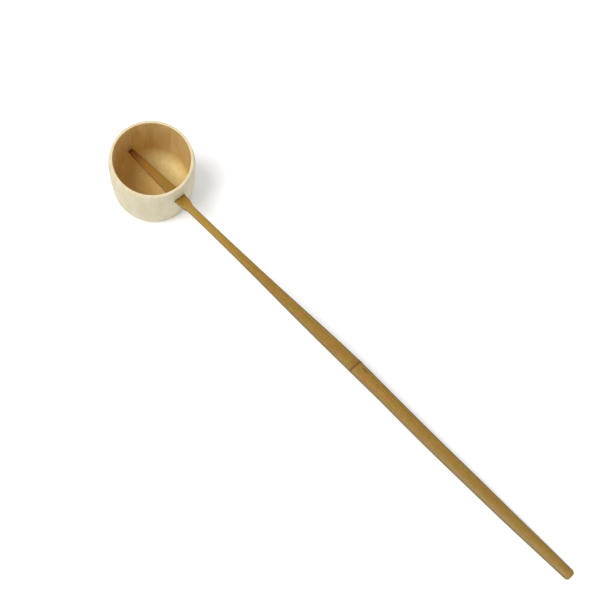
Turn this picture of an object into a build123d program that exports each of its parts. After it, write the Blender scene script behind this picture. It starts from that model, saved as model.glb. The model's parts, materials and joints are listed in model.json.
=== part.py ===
"""Bamboo water dipper: a cup cut from one culm segment, and a split-bamboo handle let through its wall.

The dipper is modelled as it lies on a table, mouth up: the heel of the cup and the end of the
handle touch the table, so the cup leans towards the handle. Lengths are in millimetres.
"""

from build123d import *
from math import asin, atan2, cos, degrees, hypot, radians, sin, sqrt, tan
import os

# Outside of the cup, heights measured from its foot along its own axis
cup_height = 45.2
belly_diameter = 54.0
belly_height = 25.5
mouth_draw_in = 1.4
mouth_lean_angle = 17.0
heel_radius = 3.9
heel_lean_angle = 6.0
foot_ring_width = 3.5
foot_recess_depth = 1.3

# Inside of the cup: the rim's width, how far the bore stands in from the belly where the tip of
# the handle meets it and at the floor, and the node wall that is the floor, dished a little
rim_width = 1.6
rim_edge_break = 0.3
seat_inset = 3.6
bore_foot_inset = 4.15
corner_radius = 8.0
floor_thickness = 2.9
floor_rise = 1.6

# Handle, measured along its top line from the axis of the cup
handle_height_at_axis = 25.5
handle_rise_angle = 17.7
node_bend_angle = 1.3
node_reach = 187.0
grip_length = 153.5

# Head of the handle: a wedge through the mortise, its tip against the far wall
tip_width = 3.7
tip_thickness = 2.2
tip_wall_gap = 0.3
tip_bevel = 1.3
head_width = 7.6
head_thickness = 3.7
head_crown = 0.25
head_edge_break = 0.25
stub_length = 4.5
stub_width = 7.2
shoulder_length = 7.0

# Strip of the handle outside the cup: the skin is crowned, the underside planed level
neck_width = 4.85
neck_thickness = 3.5
neck_crown = 0.8
node_width = 8.8
node_thickness = 3.5
grip_width = 8.35
grip_thickness = 3.2
end_width = 6.1
end_thickness = 2.7
end_corner_radius = 1.9
end_skin_drop = 0.35
skin_crown = 1.1
strip_edge_break = 0.35
underside_width_share = 0.9

# Node of the handle: a sheath scar between two low ridges
scar_width = 0.7
scar_depth = 0.3
ridge_height = 0.35
ridge_width = 1.1
ridge_side_share = 0.5
ridge_fade_length = 3.2

# The head beds on the floor of the mortise, with this much room at its sides and top
mortise_clearance = 0.1
cut_overrun = 5.0

# Stations along each stretch of the handle as shares of it, and how the outline eases there
shoulder_eases_shares = ((0.0, 0.0), (0.3, 0.16), (0.65, 0.8), (1.0, 1.0))
neck_stations_shares = (0.0, 0.16, 0.36, 0.56, 0.74, 0.9, 1.0)
neck_ease_share = 1.3
grip_stations_shares = (0.0, 0.08, 0.16, 0.4, 0.65, 0.85, 1.0)
grip_settling_share = 0.16
grip_ease_share = 2.2
end_stations_shares = (0.0, 0.38, 0.71, 0.92, 1.0)

belly_radius = belly_diameter / 2
mouth_radius = belly_radius - mouth_draw_in
seat_radius = belly_radius - seat_inset
rise = radians(handle_rise_angle)
grip_rise = radians(handle_rise_angle - node_bend_angle)

# The wall is upright at the belly, and leans by these angles where it meets the heel and the mouth
heel_lean = radians(heel_lean_angle)
mouth_lean = radians(mouth_lean_angle)
heel_top_height = heel_radius * (1 - sin(heel_lean))
heel_top_out = belly_radius - (belly_height - heel_top_height) * tan(heel_lean / 2)
heel_centre = heel_top_out - heel_radius * cos(heel_lean)
mouth_curve_height = cup_height - mouth_draw_in / tan(mouth_lean / 2)

# Reaches along the handle, from the tip past the mortise to the end
wall_reach = belly_radius / cos(rise)
tip_reach = (tip_wall_gap - seat_radius) / cos(rise)
stub_reach = wall_reach + stub_length
neck_reach = stub_reach + shoulder_length
end_reach = node_reach + grip_length
tip_height = handle_height_at_axis + tip_reach * sin(rise) - tip_thickness / 2


def top_line(reach: float) -> tuple[float, float]:
    """Place on the handle's top line, out from the cup's axis and up from its foot."""
    out = min(reach, node_reach) * cos(rise)
    up = handle_height_at_axis + min(reach, node_reach) * sin(rise)
    beyond = max(reach - node_reach, 0)
    return out + beyond * cos(grip_rise), up + beyond * sin(grip_rise)


def smooth(share: float) -> float:
    """Runs from 0 to 1 with level ends."""
    return share * share * (3 - 2 * share)


# The dipper leans until the lower edge of the handle's end touches the table as the heel does
end_out, end_up = top_line(end_reach)
span = end_out + end_thickness * sin(grip_rise) - heel_centre
climb = end_up - end_thickness * cos(grip_rise) - heel_radius
lean = atan2(climb, span) + asin(heel_radius / hypot(span, climb))

# Origin on the table, midway between the back of the heel and the end of the handle
back_out = -heel_centre * cos(lean) + heel_radius * sin(lean) - heel_radius
front_out = end_out * cos(lean) + end_up * sin(lean)
foot_out = -(back_out + front_out) / 2
foot_up = heel_radius * (1 - cos(lean)) + heel_centre * sin(lean)
cup_frame = Plane(
    origin=(foot_out, 0, foot_up), x_dir=(cos(lean), 0, -sin(lean)), z_dir=(sin(lean), 0, cos(lean))
)
cup_axis = Axis(cup_frame.origin, cup_frame.z_dir)


def leaning(plane: Plane) -> Plane:
    """A plane given in the cup's own frame, as it lies once the dipper leans on the table."""
    return Plane(cup_frame.location * plane.location)


def across_handle(reach: float) -> Plane:
    """Plane square to the handle's top line, its origin on the line and its Y up out of the skin."""
    angle = rise if reach < node_reach else grip_rise
    if reach == node_reach:
        angle = (rise + grip_rise) / 2
    out, up = top_line(reach)
    return leaning(Plane(origin=(out, 0, up), x_dir=(0, 1, 0), z_dir=(cos(angle), 0, sin(angle))))


def strip_section(
    reach: float, width: float, thickness: float, crown: float, edge: float, lift: float = 0
) -> Sketch:
    """Cross-section of the strip: level underside, leaning sides, crowned skin and broken edges."""
    half, half_below = width / 2, width * underside_width_share / 2
    with BuildSketch(across_handle(reach)) as section:
        with BuildLine():
            Line((-half_below, -thickness), (half_below, -thickness))
            Line((half_below, -thickness), (half, lift - crown))
            ThreePointArc((half, lift - crown), (0, lift), (-half, lift - crown))
            Line((-half, lift - crown), (-half_below, -thickness))
        make_face()
        chamfer(section.vertices(), edge)
    return section.sketch


def head_size(reach: float) -> tuple[float, float]:
    """Width and thickness of the wedge, straight from its tip to the outside of the near wall."""
    share = (reach - tip_reach) / (wall_reach - tip_reach)
    width = tip_width + share * (head_width - tip_width)
    return width, tip_thickness + share * (head_thickness - tip_thickness)


def head_section(reach: float) -> Sketch:
    """Section of the wedge, nearly square-edged."""
    width, thickness = head_size(reach)
    return strip_section(reach, width, thickness, head_crown, head_edge_break)


def shoulder_section(along: float, eased: float) -> Sketch:
    """Section between the stub and the neck, where the shoulders draw in."""
    return strip_section(
        stub_reach + along * shoulder_length,
        stub_width + eased * (neck_width - stub_width),
        head_thickness + along * (neck_thickness - head_thickness),
        head_crown + along * (neck_crown - head_crown),
        head_edge_break + along * (strip_edge_break - head_edge_break),
    )


def neck_section(share: float) -> Sketch:
    """Section between the neck and the node, where the strip widens slowly and then faster."""
    grown = smooth(share**neck_ease_share)
    return strip_section(
        neck_reach + share * (node_reach - ridge_fade_length - neck_reach),
        neck_width + grown * (node_width - neck_width),
        neck_thickness + grown * (node_thickness - neck_thickness),
        neck_crown + grown * (skin_crown - neck_crown),
        strip_edge_break,
    )


def node_section(offset: float, swell: float) -> Sketch:
    """Section at the node, swollen or sunk over the skin and, where it is planed, less at the sides."""
    width = node_width + 2 * swell * ridge_side_share
    return strip_section(node_reach + offset, width, node_thickness, skin_crown, strip_edge_break, swell)


def grip_section(share: float) -> Sketch:
    """Section between the node and the end, where the strip settles past the node and then tapers."""
    start = node_reach + ridge_fade_length
    settled = smooth(min(share / grip_settling_share, 1))
    eased = (max(share - grip_settling_share, 0) / (1 - grip_settling_share)) ** grip_ease_share
    width = node_width + settled * (grip_width - node_width) + eased * (end_width - grip_width)
    thickness = node_thickness + settled * (grip_thickness - node_thickness)
    thickness += eased * (end_thickness - grip_thickness)
    reach = start + share * (end_reach - end_corner_radius - start)
    return strip_section(reach, width, thickness, skin_crown, strip_edge_break)


def end_section(share: float) -> Sketch:
    """Section in the last stretch, where both corners round off and the skin turns down."""
    inset = end_corner_radius * (1 - sqrt(1 - share * share))
    width = end_width - 2 * inset
    crown = skin_crown * (width / end_width) ** 2
    lift = -end_skin_drop * share * share
    reach = end_reach - end_corner_radius * (1 - share)
    return strip_section(reach, width, end_thickness, crown, strip_edge_break, lift)


# Cup: half of its section, from the recess under the foot round to the floor, turned about the axis
with BuildPart() as cup:
    with BuildSketch(leaning(Plane.XZ)) as half_cup:
        with BuildLine():
            recess_radius = heel_centre - foot_ring_width
            recess_top = (recess_radius - foot_recess_depth, foot_recess_depth)
            foot = Polyline((0, foot_recess_depth), recess_top, (recess_radius, 0), (heel_centre, 0))
            heel = TangentArc(foot @ 1, (heel_top_out, heel_top_height), tangent=foot % 1)
            lower_wall = TangentArc(heel @ 1, (belly_radius, belly_height), tangent=heel % 1)
            belly = Line(lower_wall @ 1, (belly_radius, mouth_curve_height))
            mouth = TangentArc(belly @ 1, (mouth_radius, cup_height), tangent=belly % 1)
            rim = Line(mouth @ 1, (mouth_radius - rim_width, cup_height))
            dish_end = (belly_radius - bore_foot_inset, floor_thickness + floor_rise)
            dish = TangentArc((0, floor_thickness), dish_end, tangent=(1, 0))
            ThreePointArc(rim @ 1, (seat_radius, tip_height), dish @ 1)
            Line(dish @ 0, foot @ 0)
        make_face()
        chamfer(half_cup.vertices().group_by(Axis.Y)[-1], rim_edge_break)
        fillet(half_cup.vertices().sort_by_distance(dish_end)[0], corner_radius)
    revolve(axis=cup_axis)

    # Mortise through the near wall, shaped by the wedge that it holds
    mortise_ends = []
    for reach in (wall_reach - belly_radius / 2, wall_reach + cut_overrun):
        width, thickness = head_size(reach)
        with BuildSketch(across_handle(reach)) as mortise_end:
            with Locations((0, (mortise_clearance - thickness) / 2)):
                Rectangle(width + 2 * mortise_clearance, thickness + mortise_clearance)
        mortise_ends.append(mortise_end.sketch)
    loft(sections=mortise_ends, ruled=True, mode=Mode.SUBTRACT)
cup.part.label = "cup"

# Handle: lofted stretch by stretch along its top line, from the wedge through the wall to the end
with BuildPart() as handle:
    loft(sections=[head_section(tip_reach - cut_overrun), head_section(wall_reach)], ruled=True)
    loft(sections=[head_section(wall_reach), shoulder_section(0, 0)], ruled=True)
    loft(sections=[shoulder_section(along, eased) for along, eased in shoulder_eases_shares])
    loft(sections=[neck_section(share) for share in neck_stations_shares])

    half_scar = scar_width / 2
    node_steps = (
        (-ridge_fade_length, 0),
        (-half_scar - ridge_width, ridge_height / 2),
        (-half_scar, ridge_height),
        (0, ridge_height - scar_depth),
        (half_scar, ridge_height),
        (half_scar + ridge_width, ridge_height / 2),
        (ridge_fade_length, 0),
    )
    loft(sections=[node_section(offset, swell) for offset, swell in node_steps], ruled=True)
    loft(sections=[grip_section(share) for share in grip_stations_shares])
    loft(sections=[end_section(share) for share in end_stations_shares], ruled=True)

    # The tip is cut upright to stand against the far wall, and bevelled on top
    tip_out, tip_up = top_line(tip_reach)
    split(bisect_by=leaning(Plane(origin=(tip_out, 0, tip_up), z_dir=(1, 0, 0))), keep=Keep.TOP)
    bevel_start = (tip_out, 0, tip_up - tip_bevel)
    split(bisect_by=leaning(Plane(origin=bevel_start, z_dir=(1, 0, -1))), keep=Keep.TOP)
handle.part.label = "handle"

os.makedirs("parts", exist_ok=True)
for piece in (cup, handle):
    export_step(piece.part, f"parts/{piece.part.label}.step")
    print(piece.part.label, len(piece.part.solids()), piece.part.is_valid, round(piece.part.volume, 1))
print("lean", degrees(lean), "foot", foot_out, foot_up, "tip", tip_reach, "end", end_reach)
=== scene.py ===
"""Bamboo water dipper lying mouth up on a pale table.

The dipper has two pieces: a cup cut from one culm segment, whose own node wall is the floor,
and a handle split from a culm, let through a mortise in the cup's wall. Sizes in the classes
are in millimetres and become metres where a mesh is made.
"""

import json
import logging
from dataclasses import dataclass
from enum import IntEnum
from math import atan2, comb, cos, pi, radians, sin, tan

import bpy
import numpy as np
from mathutils import Matrix, Vector

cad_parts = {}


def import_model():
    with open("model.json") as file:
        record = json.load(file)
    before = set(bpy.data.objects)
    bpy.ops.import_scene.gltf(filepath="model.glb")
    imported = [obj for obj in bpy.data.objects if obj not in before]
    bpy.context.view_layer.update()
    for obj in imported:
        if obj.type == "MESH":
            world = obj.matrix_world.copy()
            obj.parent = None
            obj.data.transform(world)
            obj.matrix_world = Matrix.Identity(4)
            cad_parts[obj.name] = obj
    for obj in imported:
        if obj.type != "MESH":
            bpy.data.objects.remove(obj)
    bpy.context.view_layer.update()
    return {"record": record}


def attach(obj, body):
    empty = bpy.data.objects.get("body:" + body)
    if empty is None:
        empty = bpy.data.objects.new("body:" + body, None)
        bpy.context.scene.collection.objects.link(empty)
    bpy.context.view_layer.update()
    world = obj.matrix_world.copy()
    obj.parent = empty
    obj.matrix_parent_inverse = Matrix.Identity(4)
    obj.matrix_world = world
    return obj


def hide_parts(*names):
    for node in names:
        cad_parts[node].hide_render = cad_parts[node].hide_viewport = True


MM = 0.001
# Edges where the surface turns by more than this stay sharp
SHARP_TURN = radians(38)
# What a node's input takes: another node's output, a number, or a colour or vector
Feed = bpy.types.NodeSocket | float | tuple[float, ...]
log = logging.getLogger("dipper")


class CupZone(IntEnum):
    """Surfaces of the cup, in the order of its material slots."""

    UNDERSIDE = 0
    FOOT = 1
    WALL = 2
    RIM = 3
    BORE = 4
    FLOOR = 5
    MORTISE = 6


class StripZone(IntEnum):
    """Surfaces of the handle, in the order of its material slots."""

    SKIN = 0
    SPLIT = 1
    CUT = 2


def smooth(share: np.ndarray) -> np.ndarray:
    """Runs from 0 to 1 with level ends: s²(3 - 2s), s held between 0 and 1."""
    held = np.clip(share, 0.0, 1.0)
    return held * held * (3.0 - 2.0 * held)


def arc(
    centre: tuple[float, float], radius: float, start: float, end: float, count: int
) -> np.ndarray:
    """Points on a circle, c + r(cos a, sin a), with a from start to end in radians."""
    angle = np.linspace(start, end, count)
    return np.array(centre) + radius * np.column_stack((np.cos(angle), np.sin(angle)))


def eased(count: int, *controls: np.ndarray) -> np.ndarray:
    """Bezier curve, the sum of C(n,k)·t^k·(1-t)^(n-k)·p_k over its n + 1 control points p_k.

    It leaves the first point towards the second and reaches the last along the last side.

    Args:
        count: How many points, both ends included.
        *controls: The control points, (..., 2) each.

    Returns:
        The points, (..., count, 2).
    """
    t = np.linspace(0.0, 1.0, count)[:, None]
    order = len(controls) - 1
    curve = 0.0
    for k, point in enumerate(controls):
        weight = comb(order, k) * t**k * (1 - t) ** (order - k)
        curve = curve + weight * np.asarray(point, float)[..., None, :]
    return curve


def waves(angle: np.ndarray, counts: tuple[int, ...], seed: int) -> np.ndarray:
    """Sum of cosines cos(k·angle + phase) with seeded phases, divided to stay within 1.

    Args:
        angle: Angles in radians.
        counts: How many waves each cosine has in a full turn.
        seed: Seed of the phases.

    Returns:
        Heights of the waves, from -1 to 1.
    """
    phases = np.random.default_rng(seed).uniform(0.0, 2 * pi, len(counts))
    total = sum(np.cos(count * angle + phase) for count, phase in zip(counts, phases))
    return total / len(counts)


def ring_faces(rings: int, around: int) -> np.ndarray:
    """Quads between neighbouring rings of a tube whose points are numbered ring by ring.

    Args:
        rings: How many rings the tube has.
        around: How many points each ring has.

    Returns:
        Point numbers of the quads, (n, 4).
    """
    ring, step = np.meshgrid(np.arange(rings - 1), np.arange(around), indexing="ij")
    here, beside = ring * around + step, ring * around + (step + 1) % around
    return np.stack((here, beside, beside + around, here + around), axis=-1).reshape(-1, 4)


def closed_mesh(
    name: str, points: np.ndarray, faces: list[np.ndarray], zones: list[np.ndarray]
) -> bpy.types.Mesh:
    """Makes a closed mesh whose faces point outwards.

    The volume is the sum of p0·(p1×p2)/6 over the fans of the faces; a negative one means that
    they point inwards, and every face is turned over.

    Args:
        name: Name of the mesh.
        points: Points in millimetres, (n, 3).
        faces: Arrays of point numbers, one for each number of sides.
        zones: Material slot of each face, in arrays that match those of faces.

    Returns:
        The mesh, in metres and shaded smooth.
    """
    volume = 0.0
    for group in faces:
        for k in range(1, group.shape[1] - 1):
            p, q, r = points[group[:, 0]], points[group[:, k]], points[group[:, k + 1]]
            volume += np.einsum("ij,ij->", p, np.cross(q, r)) / 6.0
    if volume < 0:
        faces = [group[:, ::-1] for group in faces]
    totals = np.concatenate([np.full(len(group), group.shape[1]) for group in faces])
    corners = np.concatenate([group.ravel() for group in faces])
    mesh = bpy.data.meshes.new(name)
    mesh.vertices.add(len(points))
    mesh.vertices.foreach_set("co", (points * MM).astype(np.float32).ravel())
    mesh.loops.add(len(corners))
    mesh.loops.foreach_set("vertex_index", corners.astype(np.int32))
    mesh.polygons.add(len(totals))
    mesh.polygons.foreach_set("loop_start", (np.cumsum(totals) - totals).astype(np.int32))
    mesh.polygons.foreach_set("loop_total", totals.astype(np.int32))
    mesh.polygons.foreach_set("material_index", np.concatenate(zones).astype(np.int32))
    mesh.update(calc_edges=True)
    mesh.validate()
    mesh.shade_smooth()
    return mesh


def piece_from(mesh: bpy.types.Mesh) -> bpy.types.Object:
    """Makes an object at the origin that shows a mesh.

    Args:
        mesh: The mesh, which gives the object its name.

    Returns:
        The object, in the scene.
    """
    piece = bpy.data.objects.new(mesh.name, mesh)
    bpy.context.scene.collection.objects.link(piece)
    return piece


@dataclass(frozen=True)
class Stance:
    """How the dipper lies: where its foot is, in millimetres, and how far its axis leans."""

    foot_x: float
    foot_z: float
    lean: float

    @classmethod
    def of_record(cls, record: dict) -> "Stance":
        """Reads how the dipper lies from its record.

        Args:
            record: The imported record, whose first mount is the foot.

        Returns:
            The stance.
        """
        foot = record["mounts"][0]
        x, _, z = (value / MM for value in foot["pos_m"])
        return cls(x, z, atan2(-foot["axis"][0], -foot["axis"][2]))

    def place(self, out: np.ndarray, across: np.ndarray, up: np.ndarray) -> np.ndarray:
        """Turns the cup's own measures into the row frame.

        Args:
            out: Distance from the cup's axis towards the handle.
            across: Distance to the side.
            up: Height from the foot along the axis.

        Returns:
            Points with x = foot + out·cos(lean) + up·sin(lean), y = across and
            z = foot - out·sin(lean) + up·cos(lean), (..., 3).
        """
        x = self.foot_x + out * cos(self.lean) + up * sin(self.lean)
        z = self.foot_z - out * sin(self.lean) + up * cos(self.lean)
        return np.stack(np.broadcast_arrays(x, across, z), axis=-1)


def linear(code: str) -> tuple[float, float, float, float]:
    """Turns a colour to the linear values that shaders take, by the sRGB curve.

    Args:
        code: The colour in sRGB, as #RRGGBB.

    Returns:
        Red, green, blue and an alpha of 1.
    """
    parts = (int(code[k : k + 2], 16) / 255.0 for k in (1, 3, 5))
    red, green, blue = (p / 12.92 if p <= 0.04045 else ((p + 0.055) / 1.055) ** 2.4 for p in parts)
    return red, green, blue, 1.0


@dataclass(frozen=True)
class Grain:
    """A pattern of noise.

    Its size is that of a cell along each axis in millimetres. Noise becomes 0 at low and 1 at
    high, and detail is how many finer layers it has. Single fibres are too fine to show, so the
    fibre patterns are drawn as coarse as they need to be seen.
    """

    size: tuple[float, float, float]
    low: float
    high: float
    detail: float = 3.0
    layer_strength: float = 0.55


@dataclass(frozen=True)
class Sheen:
    """How a surface takes light.

    It is smoothest between the fibres and roughest on them. Its relief is in millimetres.
    """

    smoothest: float
    roughest: float
    specular: float
    relief: float


class Board:
    """The nodes of one material or world."""

    def __init__(self, owner: bpy.types.Material | bpy.types.World) -> None:
        """Empties the owner's nodes.

        Args:
            owner: The material or world.
        """
        owner.use_nodes = True
        self.owner, self.tree = owner, owner.node_tree
        self.tree.nodes.clear()

    def add(
        self,
        kind: str,
        sockets: dict[int | str, Feed] | None = None,
        outlet: int | str = 0,
        **settings: str,
    ) -> bpy.types.NodeSocket | None:
        """Adds a node.

        Args:
            kind: The node's type, without its ShaderNode prefix.
            sockets: What each input takes, by the input's name or number.
            outlet: Which output to return.
            **settings: The node's own properties.

        Returns:
            The chosen output, or None for a node without outputs.
        """
        node = self.tree.nodes.new(f"ShaderNode{kind}")
        for name, value in settings.items():
            setattr(node, name, value)
        for name, value in (sockets or {}).items():
            if isinstance(value, bpy.types.NodeSocket):
                self.tree.links.new(value, node.inputs[name])
            else:
                node.inputs[name].default_value = value
        return node.outputs[outlet] if node.outputs else None

    def weight(self, *parts: Feed | tuple) -> Feed:
        """Multiplies factors and smooth steps.

        Args:
            *parts: Each a factor, or a tuple for a smooth step: a measure, where the step is 0,
                where it is 1, and in a fourth place its lowest value if that isn't 0.

        Returns:
            The product, from 0 to 1.
        """
        names = ("Value", "From Min", "From Max", "To Min")
        product = None
        for part in parts:
            if isinstance(part, tuple):
                sockets = dict(zip(names, part))
                part = self.add("MapRange", sockets, interpolation_type="SMOOTHSTEP")
            if product is not None:
                part = self.add("Math", {0: product, 1: part}, operation="MULTIPLY")
            product = part
        return product

    def tint(self, below: Feed | str, above: Feed | str, *parts: Feed | tuple) -> Feed:
        """Lays a colour over another.

        Args:
            below: The lower colour, as an output or in sRGB.
            above: The upper colour, likewise.
            *parts: Factors and steps, as in weight, for how much of the upper one shows.

        Returns:
            The mixed colour.
        """
        lower, upper = (linear(tone) if isinstance(tone, str) else tone for tone in (below, above))
        sockets = {0: self.weight(*parts), 6: lower, 7: upper}
        return self.add("Mix", sockets, 2, data_type="RGBA")

    def grain(self, where: Feed, pattern: Grain) -> Feed:
        """Draws a pattern of noise.

        Args:
            where: Coordinates in millimetres.
            pattern: The pattern.

        Returns:
            A factor from 0 to 1.
        """
        scale = tuple(1.0 / length for length in pattern.size)
        sockets = {
            "Vector": self.add("Mapping", {"Vector": where, "Scale": scale}),
            "Scale": 1.0,
            "Detail": pattern.detail,
            "Roughness": pattern.layer_strength,
        }
        return self.weight((self.add("TexNoise", sockets), pattern.low, pattern.high))

    def band(self, value: Feed, centre: float, half: float, fade: float) -> Feed:
        """Marks a band on both sides of a place.

        Args:
            value: A measure.
            centre: Where the middle of the band is.
            half: How far it is full on each side.
            fade: The length over which it then fades out.

        Returns:
            A factor from 0 to 1.
        """
        offset = self.add("Math", {0: value, 1: centre}, operation="SUBTRACT")
        distance = self.add("Math", {0: offset}, operation="ABSOLUTE")
        return self.weight((distance, half + fade, half))

    def finish(self, colour: Feed, fibres: Feed, height: Feed, sheen: Sheen) -> bpy.types.Material:
        """Ends the material with its shader.

        Args:
            colour: Base colour.
            fibres: Pattern of the fibres, which are rougher than what is between them.
            height: Relief from 0 to 1.
            sheen: How the surface takes light.

        Returns:
            The material.
        """
        limits = {"Value": fibres, "To Min": sheen.smoothest, "To Max": sheen.roughest}
        relief = {"Strength": 1.0, "Distance": sheen.relief * MM, "Height": height}
        sockets = {
            "Base Color": colour,
            "Roughness": self.add("MapRange", limits, interpolation_type="SMOOTHSTEP"),
            "Normal": self.add("Bump", relief),
            "Specular IOR Level": sheen.specular,
        }
        self.add("OutputMaterial", {"Surface": self.add("BsdfPrincipled", sockets)})
        return self.owner


def cup_measures(board: Board, stance: Stance) -> bpy.types.NodeSocket:
    """Measures the cup for its materials.

    Args:
        board: The material's nodes.
        stance: How the dipper lies.

    Returns:
        Coordinates in millimetres from the cup's foot, with Z along its own axis.
    """
    own = {
        "Vector": board.add("TexCoord", outlet="Object"),
        "Location": (stance.foot_x * MM, 0.0, stance.foot_z * MM),
        "Rotation": (0.0, stance.lean, 0.0),
        "Scale": (MM, MM, MM),
    }
    return board.add("Mapping", own, vector_type="TEXTURE")


@dataclass(frozen=True)
class CulmFinish:
    """A surface of the cup: wood whose bundles of fibre run along the culm.

    The bundles are noise cells drawn out along the axis, so they show as streaks on a wall and
    as dots on the end grain. A share is how much of its colour a pattern adds.
    """

    name: str
    body: str
    pale: str
    deep: str
    stain: str
    bundles: Grain = Grain((0.45, 0.45, 16.0), 0.5, 0.66, 1.0)
    fibres: Grain = Grain((0.18, 0.18, 9.6), 0.36, 0.64)
    broad: Grain = Grain((3.85, 3.85, 28.6), 0.35, 0.65)
    mottle: Grain = Grain((11.0, 11.0, 11.0), 0.38, 0.66)
    bundle_share: float = 0.5
    fibre_share: float = 0.2
    stain_share: float = 0.35
    bundle_height: float = 0.6
    sheen: Sheen = Sheen(0.54, 0.68, 0.35, 0.03)

    def material(self, stance: Stance) -> bpy.types.Material:
        """Makes the material.

        Args:
            stance: How the dipper lies.

        Returns:
            The material, measured in millimetres from the cup's foot along its own axis.
        """
        board = Board(bpy.data.materials.new(self.name))
        where = cup_measures(board, stance)
        patterns = (self.bundles, self.fibres, self.broad, self.mottle)
        bundles, fibres, broad, mottle = (board.grain(where, pattern) for pattern in patterns)
        colour = board.tint(self.body, self.pale, broad)
        colour = board.tint(colour, self.stain, mottle, self.stain_share)
        colour = board.tint(colour, self.deep, bundles, self.bundle_share)
        colour = board.tint(colour, self.deep, fibres, self.fibre_share)
        sockets = {0: bundles, 1: self.bundle_height, 2: fibres}
        height = board.add("Math", sockets, operation="MULTIPLY_ADD")
        return board.finish(colour, fibres, height, self.sheen)


DULL = Sheen(0.64, 0.78, 0.35, 0.03)
# Planing takes the green skin off and leaves pale cream wood, fine straight streaks and no gloss
PLANED_WALL = CulmFinish(
    "bamboo_culm_planed_outside",
    body="#DCD2B1",
    pale="#E4DBC1",
    deep="#C3B385",
    stain="#D6CCA5",
    bundle_share=0.14,
    fibre_share=0.056,
    stain_share=0.25,
)
# Sawn and scraped end grain is paler still, dotted with the cut ends of the bundles
SCRAPED_END = CulmFinish(
    "bamboo_culm_end_scraped",
    body="#E8D9B4",
    pale="#F0E4C8",
    deep="#CBB07A",
    stain="#E2D2A8",
    sheen=Sheen(0.54, 0.68, 0.35, 0.02),
)
# Below, the node wall is scraped dry and stays dull, with coarser bundles
SCRAPED_NODE = CulmFinish(
    "bamboo_node_wall_scraped",
    body="#DECAA0",
    pale="#E8D8B4",
    deep="#B99C66",
    stain="#D2BB88",
    bundles=Grain((0.7, 0.7, 16.0), 0.5, 0.66, 1.0),
    fibres=Grain((0.28, 0.28, 9.6), 0.36, 0.64),
    sheen=DULL,
)
# Chiselled walls of the slot, darker brown as painted shade in the gap beside the wedge
CHISELLED = CulmFinish(
    "bamboo_mortise_chiselled",
    body="#A9814A",
    pale="#B99058",
    deep="#7C5A2E",
    stain="#8D6735",
    sheen=DULL,
)


@dataclass(frozen=True)
class HollowFinish:
    """The inside of the cup: golden rind on the bore, which turns into the corky node wall below.

    The bore's streaks run along the axis and fade out in the corner, where water has left a
    ring. The node wall is mottled and has no grain of its own. One side of it is painted warmer
    and deeper, as painted shade.
    """

    name: str = "bamboo_culm_inside_natural"
    rind: str = "#DFBC77"
    light: str = "#E8CC8F"
    streak: str = "#CDA35A"
    node_wall: str = "#E4D191"
    cork: str = "#D2B36E"
    painted_shade: str = "#DCB46A"
    ring: str = "#DABF78"
    fibres: Grain = Grain((0.35, 0.35, 15.0), 0.38, 0.66)
    streaks: Grain = Grain((1.6, 1.6, 46.0), 0.42, 0.66)
    patches: Grain = Grain((9.0, 9.0, 24.0), 0.38, 0.64)
    mottle: Grain = Grain((3.4, 3.4, 3.4), 0.42, 0.66)
    pores: Grain = Grain((0.5, 0.5, 0.5), 0.46, 0.7)
    damp: Grain = Grain((7.0, 7.0, 3.0), 0.3, 0.7)
    streak_share: float = 0.32
    fibre_share: float = 0.24
    mottle_share: float = 0.35
    pore_share: float = 0.2
    painted_shade_share: float = 0.7
    ring_share: float = 0.35
    painted_shade_side: tuple[float, float] = (11.0, -3.0)
    corner: tuple[float, float] = (3.6, 10.0)
    ring_height: float = 8.0
    ring_half: float = 0.6
    ring_fade: float = 4.0
    sheen: Sheen = Sheen(0.44, 0.6, 0.3, 0.04)

    def material(self, stance: Stance) -> bpy.types.Material:
        """Makes the material.

        Args:
            stance: How the dipper lies.

        Returns:
            The material, measured in millimetres from the cup's foot along its own axis.
        """
        board = Board(bpy.data.materials.new(self.name))
        where = cup_measures(board, stance)
        side, height = (board.add("SeparateXYZ", {"Vector": where}, axis) for axis in "YZ")
        fibres, pores = (board.grain(where, pattern) for pattern in (self.fibres, self.pores))
        bore = board.tint(self.rind, self.light, board.grain(where, self.patches))
        bore = board.tint(bore, self.streak, board.grain(where, self.streaks), self.streak_share)
        bore = board.tint(bore, self.streak, fibres, self.fibre_share)
        mottle = board.grain(where, self.mottle)
        floor = board.tint(self.node_wall, self.cork, mottle, self.mottle_share)
        floor = board.tint(floor, self.cork, pores, self.pore_share)
        # One side of the floor is painted warmer and deeper: painted shade where the near wall
        # hides the lamp
        floor = board.tint(floor, self.painted_shade, (side, *self.painted_shade_side), self.painted_shade_share)
        climb = board.weight((height, *self.corner))
        ring = board.band(height, self.ring_height, self.ring_half, self.ring_fade)
        colour = board.tint(floor, bore, climb)
        colour = board.tint(colour, self.ring, ring, board.grain(where, self.damp), self.ring_share)
        return board.finish(colour, fibres, board.tint(pores, fibres, climb), self.sheen)


# The rind and the node wall are left as they grew, and age to a golden brown with a faint sheen
HOLLOW = HollowFinish()


@dataclass(frozen=True)
class Mark:
    """A soft spot of colour near the handle's node.

    Its middle is past the node by one distance and across the strip by another. It is full over
    a half length and half width, and fades out beyond them.
    """

    colour: str
    share: float
    past: float
    half_length: float
    end_fade: float
    across: float
    half_width: float
    side_fade: float


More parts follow.
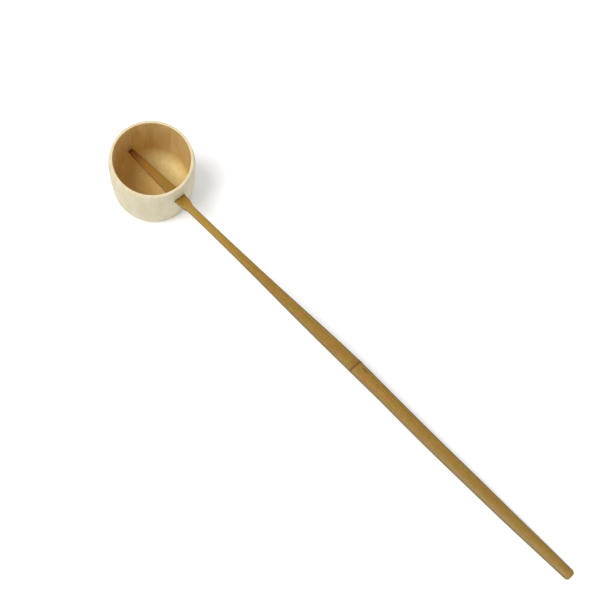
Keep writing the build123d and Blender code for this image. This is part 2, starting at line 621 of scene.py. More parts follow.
@dataclass(frozen=True)
class StripSkin:
    """The handle's skin side: aged bamboo skin, golden brown and mottled, with the node's marks.

    A share is how much of its colour a pattern adds. Pairs named along are reaches and pairs
    named across are shares of the half breadth, from where a colour is 0 to where it is full.
    """

    name: str = "bamboo_skin_aged"
    body: str = "#99732B"
    light: str = "#A78439"
    orange: str = "#AE733A"
    olive: str = "#8D7923"
    streak: str = "#75541F"
    neck: str = "#B5923C"
    # The edge colour is painted shade along both edges of the skin
    edge: str = "#7A6E4D"
    handled: str = "#8A7239"
    # A lighter grey strip along one side of the grip is a painted sheen
    painted_sheen: str = "#998556"
    soaked_and_shaded: str = "#8E5722"
    fibres: Grain = Grain((9.0, 0.16, 0.16), 0.38, 0.64)
    streaks: Grain = Grain((38.0, 0.8, 0.8), 0.42, 0.62)
    orange_patches: Grain = Grain((4.5, 1.9, 1.9), 0.47, 0.6, 4.0)
    olive_patches: Grain = Grain((3.4, 1.5, 1.5), 0.47, 0.6, 4.0)
    specks: Grain = Grain((1.7, 0.8, 0.8), 0.5, 0.66)
    shift: tuple[float, float, float] = (431.0, 17.0, 5.0)
    orange_share: float = 0.85
    olive_share: float = 0.7
    streak_share: float = 0.3
    neck_past_wall: tuple[float, float] = (3.0, 11.0)
    neck_along: tuple[float, float] = (115.0, 55.0)
    neck_share: float = 0.5
    handled_along: tuple[float, float] = (190.0, 330.0)
    handled_share: float = 0.32
    painted_sheen_across: tuple[float, float] = (-0.4, -0.7)
    painted_sheen_along: tuple[float, float] = (225.0, 275.0)
    painted_sheen_share: float = 0.4
    edge_across: tuple[float, float] = (0.64, 0.93)
    edge_share: float = 0.85
    edge_before_wall: float = 8.0
    edge_full_reach: float = 150.0
    edge_least: float = 0.2
    soaked_and_shaded_before_wall: float = 16.0
    soaked_and_shaded_past_tip: float = 1.0
    soaked_and_shaded_share: float = 0.85
    # An olive patch, a blush, the brown scar of the sheath and a bud's streak past it
    marks: tuple[Mark, ...] = (
        Mark("#8D7923", 0.6, -5.5, 0.9, 2.6, -1.0, 1.0, 2.0),
        Mark("#8F6034", 0.6, -2.2, 0.6, 1.6, 0.6, 1.4, 2.4),
        Mark("#644420", 0.6, 0.0, 0.25, 0.9, 0.0, 3.4, 1.5),
        Mark("#644420", 0.7, 5.6, 1.2, 1.6, 1.9, 0.15, 0.7),
    )
    sheen: Sheen = Sheen(0.4, 0.55, 0.25, 0.02)

    def material(
        self, wall_reach: float, tip_reach: float, node_reach: float
    ) -> bpy.types.Material:
        """Makes the material.

        Args:
            wall_reach: Where the handle leaves the cup.
            tip_reach: Where its tip is.
            node_reach: Where its node is.

        Returns:
            The material, laid out on the strip's own reach and breadth.
        """
        board = Board(bpy.data.materials.new(self.name))
        where = board.add("Attribute", outlet="Vector", attribute_name="strip")
        share = board.add("Attribute", outlet="Fac", attribute_name="breadth_share")
        reach, across = (board.add("SeparateXYZ", {"Vector": where}, axis) for axis in "XY")
        moved = board.add("Mapping", {"Vector": where, "Location": self.shift})
        fibres = board.grain(where, self.fibres)
        orange = board.grain(where, self.orange_patches)
        olive = board.grain(moved, self.olive_patches)
        colour = board.tint(self.body, self.light, board.grain(where, self.streaks))
        colour = board.tint(colour, self.orange, orange, self.orange_share)
        colour = board.tint(colour, self.olive, olive, self.olive_share)
        for pattern in (fibres, board.grain(moved, self.specks)):
            colour = board.tint(colour, self.streak, pattern, self.streak_share)

        # The neck is paler and the grip duller towards its end. One side of the grip is painted
        # lighter and greyer, a painted sheen
        start = (reach, *(wall_reach + past for past in self.neck_past_wall))
        colour = board.tint(colour, self.neck, start, (reach, *self.neck_along), self.neck_share)
        colour = board.tint(colour, self.handled, (reach, *self.handled_along), self.handled_share)
        painted_sheen = (share, *self.painted_sheen_across), (reach, *self.painted_sheen_along), self.painted_sheen_share
        colour = board.tint(colour, self.painted_sheen, *painted_sheen)
        # Painted shade darkens both edges, less and less towards the cup
        breadth = board.add("Math", {0: share}, operation="ABSOLUTE")
        along = (reach, wall_reach - self.edge_before_wall, self.edge_full_reach, self.edge_least)
        colour = board.tint(colour, self.edge, (breadth, *self.edge_across), self.edge_share, along)
        # Water has soaked the wedge from its tip, and painted shade of the cup's hollow darkens it
        # further
        soaked_and_shaded = (reach, wall_reach - self.soaked_and_shaded_before_wall, tip_reach + self.soaked_and_shaded_past_tip)
        colour = board.tint(colour, self.soaked_and_shaded, soaked_and_shaded, self.soaked_and_shaded_share)
        for mark in self.marks:
            length = board.band(reach, node_reach + mark.past, mark.half_length, mark.end_fade)
            width = board.band(across, mark.across, mark.half_width, mark.side_fade)
            colour = board.tint(colour, mark.colour, length, width, mark.share)
        return board.finish(colour, fibres, fibres, self.sheen)


@dataclass(frozen=True)
class StripWood:
    """Split or cut wood of the handle, whose fibres lie along the strip."""

    name: str
    body: str
    deep: str
    soaked_and_shaded: str
    fibres: Grain = Grain((22.0, 0.22, 0.22), 0.38, 0.64)
    bundles: Grain = Grain((33.0, 0.5, 0.5), 0.5, 0.64, 1.0)
    fibre_share: float = 0.5
    soaked_and_shaded_past_tip: float = 4.0
    soaked_and_shaded_share: float = 0.85
    sheen: Sheen = Sheen(0.55, 0.7, 0.3, 0.05)

    def material(self, wall_reach: float, tip_reach: float) -> bpy.types.Material:
        """Makes the material.

        Args:
            wall_reach: Where the handle leaves the cup.
            tip_reach: Where its tip is, and the wood darkest.

        Returns:
            The material, laid out on the strip's own reach.
        """
        board = Board(bpy.data.materials.new(self.name))
        where = board.add("Attribute", outlet="Vector", attribute_name="strip")
        reach = board.add("SeparateXYZ", {"Vector": where}, "X")
        fibres, bundles = (board.grain(where, pattern) for pattern in (self.fibres, self.bundles))
        colour = board.tint(self.body, self.deep, fibres, self.fibre_share)
        colour = board.tint(colour, self.deep, bundles, self.fibre_share)
        # Inside the cup the wood darkens towards the tip: partly soaked, partly painted shade
        soaked_and_shaded = (reach, wall_reach, tip_reach + self.soaked_and_shaded_past_tip)
        colour = board.tint(colour, self.soaked_and_shaded, soaked_and_shaded, self.soaked_and_shaded_share)
        return board.finish(colour, fibres, fibres, self.sheen)


# Split faces are duller than the skin, with long coarse fibres that catch the light
SPLIT_WOOD = StripWood("bamboo_strip_split", body="#957B44", deep="#70572B", soaked_and_shaded="#9C6C38")
# Knife-cut ends show the same fibres end on, as close dots
CUT_WOOD = StripWood(
    "bamboo_strip_knife_cut",
    body="#A1824C",
    deep="#755528",
    soaked_and_shaded="#6E441D",
    fibres=Grain((0.4, 0.22, 0.22), 0.38, 0.64),
    bundles=Grain((0.6, 0.5, 0.5), 0.5, 0.64, 1.0),
)


@dataclass
class Handle:
    """Handle split from a culm: wedge head, stub, shoulders, neck, node and grip.

    Every measure along it is a reach: the distance along its top line from the cup's axis.
    Powers shape how the strip widens or narrows, and the lips and the scar are the node's.
    """

    stance: Stance
    height_at_axis: float = 25.5
    rise: float = radians(17.7)
    grip_rise: float = radians(16.4)
    bend_length: float = 4.0
    belly_radius: float = 27.0
    seat_radius: float = 23.4
    tip_gap: float = 0.3
    tip_width: float = 3.7
    tip_thickness: float = 2.2
    tip_bevel: float = 1.3
    head_width: float = 7.6
    head_thickness: float = 3.7
    head_crown: float = 0.25
    head_edge: float = 0.3
    stub_length: float = 4.5
    stub_width: float = 7.2
    shoulder_length: float = 7.0
    shoulder_power: float = 2.1
    neck_width: float = 4.85
    neck_crown: float = 0.8
    neck_thickness: float = 3.5
    neck_power: float = 1.3
    node_reach: float = 187.0
    node_width: float = 8.8
    node_fade: float = 3.2
    lip_height: float = 0.35
    lip_offset: float = 0.35
    lip_length: float = 1.25
    lip_power: float = 1.5
    lip_on_sides: float = 0.8
    scar_depth: float = 0.3
    scar_half: float = 0.26
    scar_on_sides: float = 0.1
    grip_length: float = 153.5
    grip_width: float = 8.35
    grip_thickness: float = 3.2
    grip_power: float = 2.2
    settled_share: float = 0.16
    end_width: float = 6.1
    end_thickness: float = 2.7
    end_corner: float = 1.9
    end_drop: float = 0.35
    end_ease: float = 0.25
    end_rings: int = 5
    end_crook: float = 0.35
    skin_crown: float = 1.1
    skin_edge: float = 0.45
    edge_limit: float = 0.3
    low_trim: float = 0.9
    high_trim: float = 0.8
    skin_columns: int = 15
    skin_starts: int = 9
    underside_share: float = 0.9
    clearance: float = 0.1
    slot_past_wall: float = 5.0
    ring_counts: tuple[int, ...] = (24, 6, 22, 70, 56, 70, 20)
    crook_knots: tuple[tuple[float, float], ...] = (
        (120, 0.0), (186, 0.3), (250, -0.29), (290, -0.15)
    )

    def __post_init__(self) -> None:
        """Works out the reaches of the wall, the tip, the stub, the neck and the end."""
        self.wall_reach = self.belly_radius / cos(self.rise)
        self.tip_reach = (self.tip_gap - self.seat_radius) / cos(self.rise)
        self.stub_reach = self.wall_reach + self.stub_length
        self.neck_reach = self.stub_reach + self.shoulder_length
        self.end_reach = self.node_reach + self.grip_length

    def head_size(self, reach: float | np.ndarray) -> tuple:
        """Size of the wedge, which is straight from its tip to the outside of the wall.

        Args:
            reach: One reach or more.

        Returns:
            Width and thickness there.
        """
        share = (reach - self.tip_reach) / (self.wall_reach - self.tip_reach)
        width = self.tip_width + share * (self.head_width - self.tip_width)
        return width, self.tip_thickness + share * (self.head_thickness - self.tip_thickness)

    def stations(self) -> np.ndarray:
        """Spaces the rings, closest at the shoulders, the node and the end.

        Returns:
            Reaches of the rings.
        """
        stops = (self.tip_reach, self.wall_reach, self.stub_reach, self.neck_reach)
        stops += (self.node_reach - self.node_fade, self.node_reach + self.node_fade)
        stops += (self.end_reach - self.end_corner, self.end_reach - self.end_ease)
        limits = zip(stops, stops[1:], self.ring_counts)
        runs = [np.linspace(start, end, count, endpoint=False) for start, end, count in limits]
        return np.concatenate((*runs, stops[-1:]))

    def outline(self, reach: np.ndarray) -> dict[str, np.ndarray]:
        """Measures of the cross-section at each reach.

        With p a power of its own, the shoulders ease by s^p / (s^p + (1-s)^p), the neck widens by
        smooth(s^p) and the grip, once settled past the node, tapers by s^p. The wedge is straight
        and the corners of the end are quarter circles. At the node, the scar is sunk by
        exp(-(d/half)²), where d is the distance from it, and the lips stand by exp(-(e/length)^p),
        where e is the distance past their offset. Both end within the last third of node_fade.

        Args:
            reach: Reaches of the rings.

        Returns:
            Width, thickness, crown, edge radius and lift of the crown.
        """
        head_width, head_thickness = self.head_size(reach)
        stub = (reach - self.wall_reach) / self.stub_length
        along = np.clip((reach - self.stub_reach) / self.shoulder_length, 0.0, 1.0)
        drawn = along**self.shoulder_power
        drawn = drawn / (drawn + (1 - along) ** self.shoulder_power)
        neck = (reach - self.neck_reach) / (self.node_reach - self.node_fade - self.neck_reach)
        grown = smooth(np.clip(neck, 0.0, 1.0) ** self.neck_power)
        grip_start = self.node_reach + self.node_fade
        grip_run = self.end_reach - self.end_corner - grip_start
        grip = np.clip((reach - grip_start) / grip_run, 0.0, 1.0)
        settled = smooth(grip / self.settled_share)
        taper = np.clip((grip - self.settled_share) / (1 - self.settled_share), 0.0, 1.0)
        taper = taper**self.grip_power
        rounded = (reach - self.end_reach + self.end_corner) / self.end_corner
        rounded = np.clip(rounded, 0.0, 1.0)
        inset = self.end_corner * (1 - np.sqrt(1 - rounded**2))

        stub_width = self.head_width + np.clip(stub, 0, 1) * (self.stub_width - self.head_width)
        shoulder_width = self.stub_width + drawn * (self.neck_width - self.stub_width)
        neck_width = self.neck_width + grown * (self.node_width - self.neck_width)
        grip_width = self.node_width + settled * (self.grip_width - self.node_width)
        grip_width += taper * (self.end_width - self.grip_width) - 2 * inset
        limits = (self.wall_reach, self.stub_reach, self.neck_reach, grip_start)
        parts = [reach < limit for limit in limits]
        widths = (head_width, stub_width, shoulder_width, neck_width)
        width = np.select(parts, widths, grip_width)

        thin = self.head_thickness + along * (self.neck_thickness - self.head_thickness)
        grip_thickness = self.neck_thickness
        grip_thickness += settled * (self.grip_thickness - self.neck_thickness)
        grip_thickness += taper * (self.end_thickness - self.grip_thickness)
        thickness = np.select((parts[0], parts[-1]), (head_thickness, thin), grip_thickness)
        crown = self.head_crown + along * (self.neck_crown - self.head_crown)
        crown = crown + grown * (self.skin_crown - self.neck_crown)
        crown = crown * np.where(rounded > 0, (width / (width + 2 * inset)) ** 2, 1.0)

        # The lips and the scar are fuller on the skin than on the split sides
        offset = np.abs(reach - self.node_reach)
        lip = np.clip(offset - self.lip_offset, 0, None) / self.lip_length
        swell = self.lip_height * np.exp(-(lip**self.lip_power))
        swell = swell - self.scar_depth * np.exp(-((offset / self.scar_half) ** 2))
        swell = swell * smooth((self.node_fade - offset) / self.node_fade * 3)
        return {
            "width": width + self.lip_on_sides * np.clip(swell, -self.scar_on_sides, None),
            "thickness": thickness,
            "crown": crown,
            "edge": self.head_edge + along * (self.skin_edge - self.head_edge),
            "lift": swell - self.end_drop * rounded**2,
        }

    def section(self, outline: dict[str, np.ndarray]) -> np.ndarray:
        """Points round the cross-section, from the right end of its underside over the skin.

        The underside is level, the sides lean out, the skin is the arc through its two edges and
        its crown, v = lift - R + sqrt(R² - across²), and quadratic curves round the corners.

        Args:
            outline: Measures of each ring.

        Returns:
            Across and height above the top line, (rings, points round, 2).
        """
        half = outline["width"][:, None] / 2
        below = half * self.underside_share
        bottom = -outline["thickness"][:, None]
        crown, lift = outline["crown"][:, None], outline["lift"][:, None]
        edge = np.minimum(outline["edge"][:, None], half * self.edge_limit)
        shoulder = lift - crown
        side = np.concatenate((half - below, shoulder - bottom), axis=1)
        side = side / np.linalg.norm(side, axis=1, keepdims=True)
        low = np.concatenate((below, bottom), axis=1)
        high = np.concatenate((half, shoulder), axis=1)
        low_trim, high_trim = edge * self.low_trim, edge * self.high_trim
        low_corner = eased(4, low - low_trim * [1.0, 0.0], low, low + low_trim * side)

        radius = (half**2 + crown**2) / (2 * crown)
        columns = np.linspace(1.0, 1.0 / (2 * self.skin_columns - 1), self.skin_columns)
        spread = columns[None, :] * (half - high_trim)
        skin = np.stack((spread, lift - radius + np.sqrt(radius**2 - spread**2)), axis=-1)
        high_corner = eased(5, high - high_trim * side, high, skin[:, 0])
        share = np.array([0.25, 0.5, 0.75])[:, None]
        side_run = low_corner[:, -1:] * (1 - share) + high_corner[:, :1] * share
        right = np.concatenate((low_corner, side_run, high_corner, skin[:, 1:]), axis=1)
        left = right[:, ::-1] * [-1.0, 1.0]
        return np.concatenate((right, left), axis=1)

    def crook(self, reach: np.ndarray) -> np.ndarray:
        """Sideways crook of the split strip, eased by smooth(s) between measured reaches.

        Args:
            reach: Reach of each point.

        Returns:
            How far each point stands to the side.
        """
        knots = np.array([*self.crook_knots, (self.end_reach, self.end_crook)])
        index = np.clip(np.searchsorted(knots[:, 0], reach) - 1, 0, len(knots) - 2)
        start, end = knots[index, 0], knots[index + 1, 0]
        here, there = knots[index, 1], knots[index + 1, 1]
        return here + smooth((reach - start) / (end - start)) * (there - here)

    def lay(self, reach: np.ndarray, across: np.ndarray, height: np.ndarray) -> np.ndarray:
        """Places points of the strip in the row frame.

        Up to the node the top line rises at one angle and past it at a slightly smaller one; a
        point at a height above the line stands off square to it.

        Args:
            reach: Reach of each point.
            across: Its distance to the side.
            height: Its height above the top line.

        Returns:
            The points in millimetres, (..., 3).
        """
        beyond = np.clip(reach - self.node_reach, 0.0, None)
        before = reach - beyond
        bend = smooth((reach - self.node_reach) / self.bend_length + 0.5)
        angle = self.rise + (self.grip_rise - self.rise) * bend
        out = before * cos(self.rise) + beyond * cos(self.grip_rise) - height * np.sin(angle)
        up = self.height_at_axis + before * sin(self.rise) + beyond * sin(self.grip_rise)
        return self.stance.place(out, across + self.crook(reach), up + height * np.cos(angle))

    def tip_surface(self, height: np.ndarray) -> np.ndarray:
        """The cut tip: upright against the wall, and bevelled at 45° on top.

        Args:
            height: Heights above the top line.

        Returns:
            Reach of the tip at each height.
        """
        tip_out = self.tip_reach * cos(self.rise)
        upright = self.tip_reach + height * tan(self.rise)
        bevel_foot = self.height_at_axis + self.tip_reach * sin(self.rise) - self.tip_bevel
        across_grain = height * (cos(self.rise) + sin(self.rise))
        bevel = tip_out + self.height_at_axis - bevel_foot + across_grain
        return np.maximum(upright, bevel / (cos(self.rise) - sin(self.rise)))

    def rings(self) -> tuple[np.ndarray, np.ndarray, np.ndarray]:
        """Rings of points along the top line.

        Inside the cup they slant more and more to follow the cut tip, and at the other end the
        edge is eased by rings that draw in along a quarter circle.

        Returns:
            Reach, distance to the side and height of the points, (rings, points round) each.
        """
        stations = self.stations()
        section = self.section(self.outline(stations))
        across, height = section[..., 0], section[..., 1]
        reach = np.repeat(stations[:, None], across.shape[1], axis=1)
        in_head = stations < self.wall_reach
        share = (stations[in_head, None] - self.tip_reach) / (self.wall_reach - self.tip_reach)
        tip = self.tip_surface(height[0])[None, :]
        reach[in_head] = tip + share * (self.wall_reach - tip)

        turn = np.linspace(0.0, pi / 2, self.end_rings + 1)[1:, None]
        draw = self.end_ease * (1 - np.cos(turn))
        middle = (height[-1].max() + height[-1].min()) / 2
        half_width, half_height = across[-1].max(), height[-1].max() - middle
        end_across = across[-1] * (1 - draw / half_width)
        end_height = middle + (height[-1] - middle) * (1 - draw / half_height)
        end_reach = stations[-1] + self.end_ease * np.sin(turn)
        end_reach = np.repeat(end_reach, across.shape[1], axis=1)
        return (
            np.concatenate((reach, end_reach)),
            np.concatenate((across, end_across)),
            np.concatenate((height, end_height)),
        )

    def build(self) -> bpy.types.Object:
        """Builds the strip from its rings, closed by ladders of quads at both ends.

        Returns:
            The handle.
        """
        reach, across, height = self.rings()
        rings, around = reach.shape
        points = self.lay(reach, across, height).reshape(-1, 3)
        tube = ring_faces(rings, around)
        step = np.arange(around // 2 - 1)
        ladder = np.stack((step, step + 1, around - 2 - step, around - 1 - step), axis=-1)
        last = ladder[:, ::-1] + (rings - 1) * around
        side = np.arange(around)
        on_skin = (side >= self.skin_starts) & (side < around - 1 - self.skin_starts)
        zone = np.where(np.tile(on_skin, rings - 1), StripZone.SKIN, StripZone.SPLIT)
        zone[tube[:, 0] >= (rings - 1 - self.end_rings) * around] = StripZone.CUT
        caps = np.full(2 * len(ladder), StripZone.CUT)
        faces, zones = np.concatenate((tube, ladder, last)), np.concatenate((zone, caps))
        mesh = closed_mesh("handle_strip", points, [faces], [zones])

        places = np.stack((reach, across, height), axis=-1).astype(np.float32)
        strip = mesh.attributes.new("strip", "FLOAT_VECTOR", "POINT")
        strip.data.foreach_set("vector", places.ravel())
        breadth = (across / np.abs(across).max(axis=1, keepdims=True)).astype(np.float32)
        shares = mesh.attributes.new("breadth_share", "FLOAT", "POINT")
        shares.data.foreach_set("value", breadth.ravel())
        mesh.set_sharp_from_angle(angle=SHARP_TURN)
        return piece_from(mesh)

    def dress(self, piece: bpy.types.Object) -> None:
        """Gives the handle its finishes, in the order of its zones.

        Args:
            piece: The handle.
        """
        skin = StripSkin().material(self.wall_reach, self.tip_reach, self.node_reach)
        piece.data.materials.append(skin)
        for wood in (SPLIT_WOOD, CUT_WOOD):
            piece.data.materials.append(wood.material(self.wall_reach, self.tip_reach))

    def mortise(self) -> np.ndarray:
        """The slot that the wedge needs, from well inside the wall to past its outside.

        Returns:
            Its corners, (8, 3), the inner four first.
        """
        corners = []
        inner = self.wall_reach - self.belly_radius / 2
        for reach in (inner, self.wall_reach + self.slot_past_wall):
            width, thickness = self.head_size(reach)
            half, top = width / 2 + self.clearance, self.clearance
            square = np.array([(-half, -thickness), (half, -thickness), (half, top), (-half, top)])
            corners.append(self.lay(np.full(4, reach), square[:, 0], square[:, 1]))
        return np.concatenate(corners)


@dataclass
class Cup:
    """Cup cut from one culm segment, its outside planed and its own node wall the floor.

    Radii are from the cup's axis and heights from its foot. The depths of the relief come last,
    with the lengths over which it fades out towards the edges of a surface.
    """

    stance: Stance
    height: float = 45.2
    belly_radius: float = 27.0
    belly_height: float = 25.5
    mouth_draw_in: float = 1.4
    mouth_lean: float = radians(17.0)
    heel_radius: float = 3.9
    heel_lean: float = radians(6.0)
    foot_width: float = 3.5
    recess_depth: float = 1.3
    rim_width: float = 1.6
    rim_ease: float = 0.45
    bore_foot: tuple[float, float] = (23.17, 11.29)
    bore_lean: float = radians(2.5)
    dish_end: tuple[float, float] = (15.96, 3.68)
    corner_fullness: float = 3.9
    floor_height: float = 2.9
    around: int = 240
    plane_strokes: int = 34
    stroke_depth: float = 0.05
    stroke_least: float = 0.65
    oval_depth: float = 0.06
    bore_wave: float = 0.07
    bore_ripple: float = 0.03
    dish_wave: float = 0.09
    dish_ripple: float = 0.05
    heel_plain: float = 1.0
    heel_fade: float = 5.0
    mouth_fade: float = 4.0
    corner_plain: float = 1.5
    bore_fade: float = 6.0
    dish_fade: float = 3.0

    def outside(self) -> list[tuple[CupZone, np.ndarray]]:
        """Runs of the half-section from the middle of the underside to the rim's inner edge.

        The heel is an arc, the wall above it one wide arc to the upright belly, and the mouth
        draws in along a last arc that ends at its own lean.

        Returns:
            The zone and the points of each run.
        """
        belly, recess_depth, heel = self.belly_radius, self.recess_depth, self.heel_radius
        rest = self.belly_height - heel * (1 - sin(self.heel_lean))
        heel_centre = belly - rest * tan(self.heel_lean / 2) - heel * cos(self.heel_lean)
        wall_radius = rest / sin(self.heel_lean)
        wall_centre = (belly - wall_radius, self.belly_height)
        curve_height = self.height - self.mouth_draw_in / tan(self.mouth_lean / 2)
        mouth_curve = (self.height - curve_height) / sin(self.mouth_lean)
        trim = self.mouth_lean - self.rim_ease / mouth_curve
        mouth = arc((belly - mouth_curve, curve_height), mouth_curve, 0.0, trim, 20)
        ring = heel_centre - self.foot_width
        recess = ring - recess_depth
        lip = np.array((belly - self.mouth_draw_in, self.height))
        inner, ease = lip - (self.rim_width, 0.0), np.array((self.rim_ease, 0.0))
        return [
            (CupZone.UNDERSIDE, np.linspace((0.0, recess_depth), (recess, recess_depth), 16)),
            (CupZone.FOOT, np.linspace((recess, recess_depth), (ring, 0.0), 4)),
            (CupZone.FOOT, np.linspace((ring, 0.0), (heel_centre, 0.0), 5)),
            (CupZone.WALL, arc((heel_centre, heel), heel, -pi / 2, -self.heel_lean, 14)),
            (CupZone.WALL, arc(wall_centre, wall_radius, -self.heel_lean, 0.0, 36)),
            (CupZone.WALL, np.linspace((belly, self.belly_height), (belly, curve_height), 20)),
            (CupZone.WALL, mouth),
            (CupZone.RIM, eased(6, mouth[-1], lip, lip - ease)),
            (CupZone.RIM, np.linspace(lip - ease, inner + ease, 4)),
            (CupZone.RIM, eased(6, inner + ease, inner, inner - ease[::-1])),
        ]

    def inside(self) -> list[tuple[CupZone, np.ndarray]]:
        """Runs of the half-section from below the rim's inner edge to the middle of the floor.

        The bore is a shallow curve that leans by bore_lean at its foot, the floor a dish that is
        level in the middle, and a hollow curve that leaves both along their own lines joins them.

        Returns:
            The zone and the points of each run.
        """
        mouth_radius = self.belly_radius - self.mouth_draw_in - self.rim_width
        top = np.array((mouth_radius, self.height - self.rim_ease))
        foot, dish_end = np.array(self.bore_foot), np.array(self.dish_end)
        up = np.array((sin(self.bore_lean), cos(self.bore_lean)))
        dish_aim = np.array((dish_end[0] / 2, self.floor_height))
        out = (dish_end - dish_aim) / np.linalg.norm(dish_end - dish_aim)
        fullness = self.corner_fullness
        corner = (foot, foot - fullness * up, dish_end + fullness * out, dish_end)
        return [
            (CupZone.BORE, eased(40, top, foot + up * (top[1] - foot[1]) / 2, foot)),
            (CupZone.BORE, eased(30, *corner)),
            (CupZone.FLOOR, eased(28, dish_end, dish_aim, (0.0, self.floor_height))),
        ]

    def profile(self) -> tuple[np.ndarray, np.ndarray]:
        """Closed half-section, from the middle of the underside round to the middle of the floor.

        Returns:
            Radius and height of each station, (n, 2), and the zone that ends at each station.
        """
        runs = self.outside() + self.inside()
        stations = np.concatenate([runs[0][1][:1]] + [run[1:] for _, run in runs])
        zones = [runs[0][0]] + [zone for zone, run in runs for _ in run[1:]]
        return stations, np.array(zones)

    def relief(
        self, stations: np.ndarray, zones: np.ndarray, angle: np.ndarray
    ) -> tuple[np.ndarray, np.ndarray]:
        """How far the hand-worked surface leaves the turned one.

        Outside, each plane stroke leaves a flat, depth·(1 - cos(n·angle))/2 deep and never
        proud; the bore waves by a few hundredths, and both sides of the node wall ripple.

        Args:
            stations: Radius and height of each station.
            zones: Zone of each station.
            angle: Angles round the axis.

        Returns:
            Change of radius and of height at each station and angle.
        """
        radius, height = stations[:, :1], stations[:, 1:]
        outside = (zones == CupZone.WALL)[:, None]
        outside = outside * smooth((height - self.heel_plain) / self.heel_fade)
        outside = outside * smooth((self.height - height) / self.mouth_fade)
        uneven = self.stroke_least + (1 - self.stroke_least) * waves(angle, (2, 3, 5), 11)
        stroke = (1 - np.cos(self.plane_strokes * angle)) / 2
        oval = self.oval_depth * (1 - np.cos(2 * angle)) / 2
        change = -outside * (self.stroke_depth * uneven * stroke + oval)

        bore = (zones == CupZone.BORE)[:, None] * smooth((self.height - height) / self.bore_fade)
        bore = bore * smooth((height - self.floor_height - self.corner_plain) / self.bore_fade)
        wave = self.bore_wave * waves(angle, (3, 5, 8, 13), 23)
        change = change + bore * (wave + self.bore_ripple * waves(angle, (29, 37, 46), 5))

        membrane = np.isin(zones, (CupZone.FLOOR, CupZone.UNDERSIDE))[:, None]
        membrane = membrane * smooth(radius / self.dish_fade)
        membrane = membrane * smooth((self.dish_end[0] - radius) / self.dish_fade)
        # The phase runs outwards by 1.1 radians a millimetre and wanders three times a turn
        wave = waves(radius * 1.1 + 0.4 * np.cos(3 * angle), (1, 2, 3), 31)
        ripple = self.dish_ripple * waves(angle, (4, 7, 11), 3)
        return change, membrane * (self.dish_wave * wave + ripple)

    def build(self, mortise: np.ndarray) -> bpy.types.Object:
        """Turns the half-section about the axis and cuts the mortise.

        Each point is (r·cos a, r·sin a, h) of its station's radius and height with the relief
        added, and both ends of the half-section are single points on the axis.

        Args:
            mortise: Corners of the slot, (8, 3).

        Returns:
            The cup.
        """
        stations, zones = self.profile()
        angle = np.arange(self.around) * 2 * pi / self.around
        change, lift = self.relief(stations, zones, angle)
        radius = stations[:, :1] + change
        height = np.broadcast_to(stations[:, 1:], radius.shape) + lift
        rings = self.stance.place(radius * np.cos(angle), radius * np.sin(angle), height)[1:-1]
        poles = self.stance.place(np.zeros(2), np.zeros(2), stations[[0, -1], 1])
        count, around = rings.shape[:2]
        points = np.concatenate((rings.reshape(-1, 3), poles))
        side, top = np.arange(around), (count - 1) * around
        beside = (side + 1) % around
        first = np.stack((np.full(around, count * around), beside, side), axis=-1)
        last = np.stack((np.full(around, count * around + 1), top + side, top + beside), axis=-1)
        faces = [ring_faces(count, around), np.concatenate((first, last))]
        face_zones = [np.repeat(zones[2:-1], around), np.repeat([zones[1], zones[-1]], around)]
        piece = piece_from(closed_mesh("cup_culm", points, faces, face_zones))

        sides = [[0, 4, 5, 1], [1, 5, 6, 2], [2, 6, 7, 3], [3, 7, 4, 0]]
        block = np.array([[0, 1, 2, 3], [7, 6, 5, 4], *sides])
        cut_zones = [np.full(len(block), CupZone.MORTISE)]
        tool = piece_from(closed_mesh("mortise_tool", mortise, [block], cut_zones))
        self.dress(piece, tool)
        self.cut(piece, tool)
        piece.data.set_sharp_from_angle(angle=SHARP_TURN)
        return piece

    def cut(self, piece: bpy.types.Object, tool: bpy.types.Object) -> None:
        """Cuts the tool's shape out of a piece, keeps the result as its mesh and drops the tool.

        Args:
            piece: The piece to cut.
            tool: The shape to take away.
        """
        cut = piece.modifiers.new("mortise", "BOOLEAN")
        cut.object, cut.operation, cut.solver = tool, "DIFFERENCE", "EXACT"
        bpy.context.view_layer.update()
        whole = piece.evaluated_get(bpy.context.evaluated_depsgraph_get())
        result = bpy.data.meshes.new_from_object(whole)
        piece.modifiers.clear()
        old, piece.data = piece.data, result
        bpy.data.meshes.remove(old)
        result.name = piece.name
        bpy.data.objects.remove(tool)

    def dress(self, *shapes: bpy.types.Object) -> None:
        """Gives finishes in the order of the cup's zones.

        Args:
            *shapes: The cup, and the tool that cuts it.
        """
        finishes = (SCRAPED_NODE, SCRAPED_END, PLANED_WALL, SCRAPED_END, HOLLOW, HOLLOW, CHISELLED)
        made = {finish: finish.material(self.stance) for finish in dict.fromkeys(finishes)}
        for shape in shapes:
            for finish in finishes:
                shape.data.materials.append(made[finish])


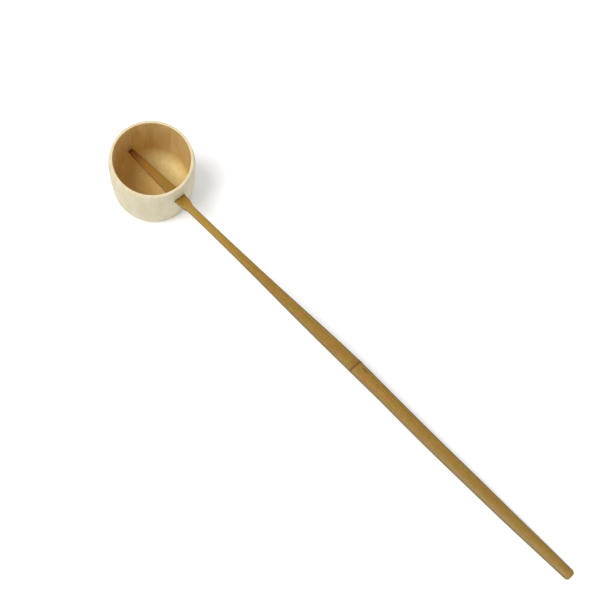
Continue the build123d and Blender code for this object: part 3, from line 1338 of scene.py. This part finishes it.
@dataclass
class Studio:
    """Pale table, soft light and the camera, in metres."""

    table_size: float = 6.0
    table_tone: float = 0.9
    table_glow: float = 0.26
    daylight: float = 0.48
    lamp_level: float = 2.2
    lamp_spread: float = radians(34)
    lamp_towards: tuple[float, float, float] = (0.12, -0.42, 0.9)
    aim: tuple[float, float, float] = (-0.03092, 0.01275, 0.0)
    distance: float = 0.54097
    elevation: float = radians(57.5918)
    bearing: float = radians(-59.3578)
    roll: float = radians(12.7854)
    lens: float = 53.398
    sensor: float = 36.0
    nearest: float = 0.01

    def lay_table(self) -> bpy.types.Object:
        """Lays the table, which keeps the dipper's shadow and looks white where it is bare.

        Returns:
            The table, whose paper glows a little for the camera and in reflections.
        """
        half = self.table_size / 2
        corners = [(-half, -half, 0), (half, -half, 0), (half, half, 0), (-half, half, 0)]
        mesh = bpy.data.meshes.new("table")
        mesh.from_pydata(corners, [], [(0, 1, 2, 3)])
        # Uncoated paper is matte, so it shows the shadow and no reflection
        board = Board(bpy.data.materials.new("paper_white_matte"))
        seen = board.add("LightPath", outlet="Is Camera Ray")
        for ray in ("Is Glossy Ray", "Is Transmission Ray"):
            path = board.add("LightPath", outlet=ray)
            seen = board.add("Math", {0: seen, 1: path}, operation="MAXIMUM")
        glow = board.add("Emission", {"Strength": board.weight(seen, self.table_glow)})
        tone = self.table_tone
        paper = board.add("BsdfDiffuse", {"Color": (tone, tone, tone, 1.0)})
        board.add("OutputMaterial", {"Surface": board.add("AddShader", {0: paper, 1: glow})})
        mesh.materials.append(board.owner)
        return piece_from(mesh)

    def light(self) -> None:
        """Lights the table from all round and from one broad lamp, at a level near 1 in all."""
        world = bpy.data.worlds.new("daylight")
        bpy.context.scene.world = world
        board = Board(world)
        white = (1.0, 1.0, 1.0, 1.0)
        skies = {0: board.add("LightPath", outlet="Is Camera Ray")}
        for place, strength in ((1, self.daylight), (2, 1.0)):
            skies[place] = board.add("Background", {"Color": white, "Strength": strength})
        board.add("OutputWorld", {"Surface": board.add("MixShader", skies)})
        lamp = bpy.data.lights.new("window", "SUN")
        lamp.energy, lamp.angle = self.lamp_level, self.lamp_spread
        window = bpy.data.objects.new("window", lamp)
        window.rotation_euler = Vector(self.lamp_towards).to_track_quat("Z", "Y").to_euler()
        bpy.context.scene.collection.objects.link(window)

    def place_camera(self) -> None:
        """Sets the camera at its distance from the aim, looking down and rolled."""
        level = cos(self.elevation)
        forward = Vector((
            level * sin(self.bearing), level * cos(self.bearing), -sin(self.elevation)
        ))
        level_right = forward.cross(Vector((0.0, 0.0, 1.0))).normalized()
        level_up = level_right.cross(forward)
        up = cos(self.roll) * level_up + sin(self.roll) * level_right
        right = forward.cross(up)
        eye = bpy.data.cameras.new("camera")
        eye.lens, eye.sensor_width, eye.clip_start = self.lens, self.sensor, self.nearest
        camera = bpy.data.objects.new("camera", eye)
        place = Matrix((right, up, -forward)).transposed().to_4x4()
        place.translation = Vector(self.aim) - forward * self.distance
        camera.matrix_world = place
        bpy.context.scene.collection.objects.link(camera)
        bpy.context.scene.camera = camera

    def build(self) -> None:
        """Builds the studio: the table, its light and the camera."""
        self.lay_table()
        self.light()
        self.place_camera()
        bpy.context.scene.view_settings.view_transform = "Standard"


def report(piece: bpy.types.Object) -> None:
    """Logs a piece with its numbers of points and faces."""
    mesh = piece.data
    log.info("%s: %d points, %d faces", piece.name, len(mesh.vertices), len(mesh.polygons))


def main() -> None:
    """Builds the dipper over its frame, dresses it and sets up the studio."""
    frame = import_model()
    stance = Stance.of_record(frame["record"])

    handle = Handle(stance)
    strip = handle.build()
    handle.dress(strip)
    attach(strip, "root")
    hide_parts("handle")
    report(strip)

    cup = Cup(stance)
    culm = cup.build(handle.mortise())
    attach(culm, "root")
    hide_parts("cup")
    report(culm)

    Studio().build()


if __name__ == "__main__":
    logging.basicConfig(level=logging.INFO, format="%(name)s: %(message)s")
    main()
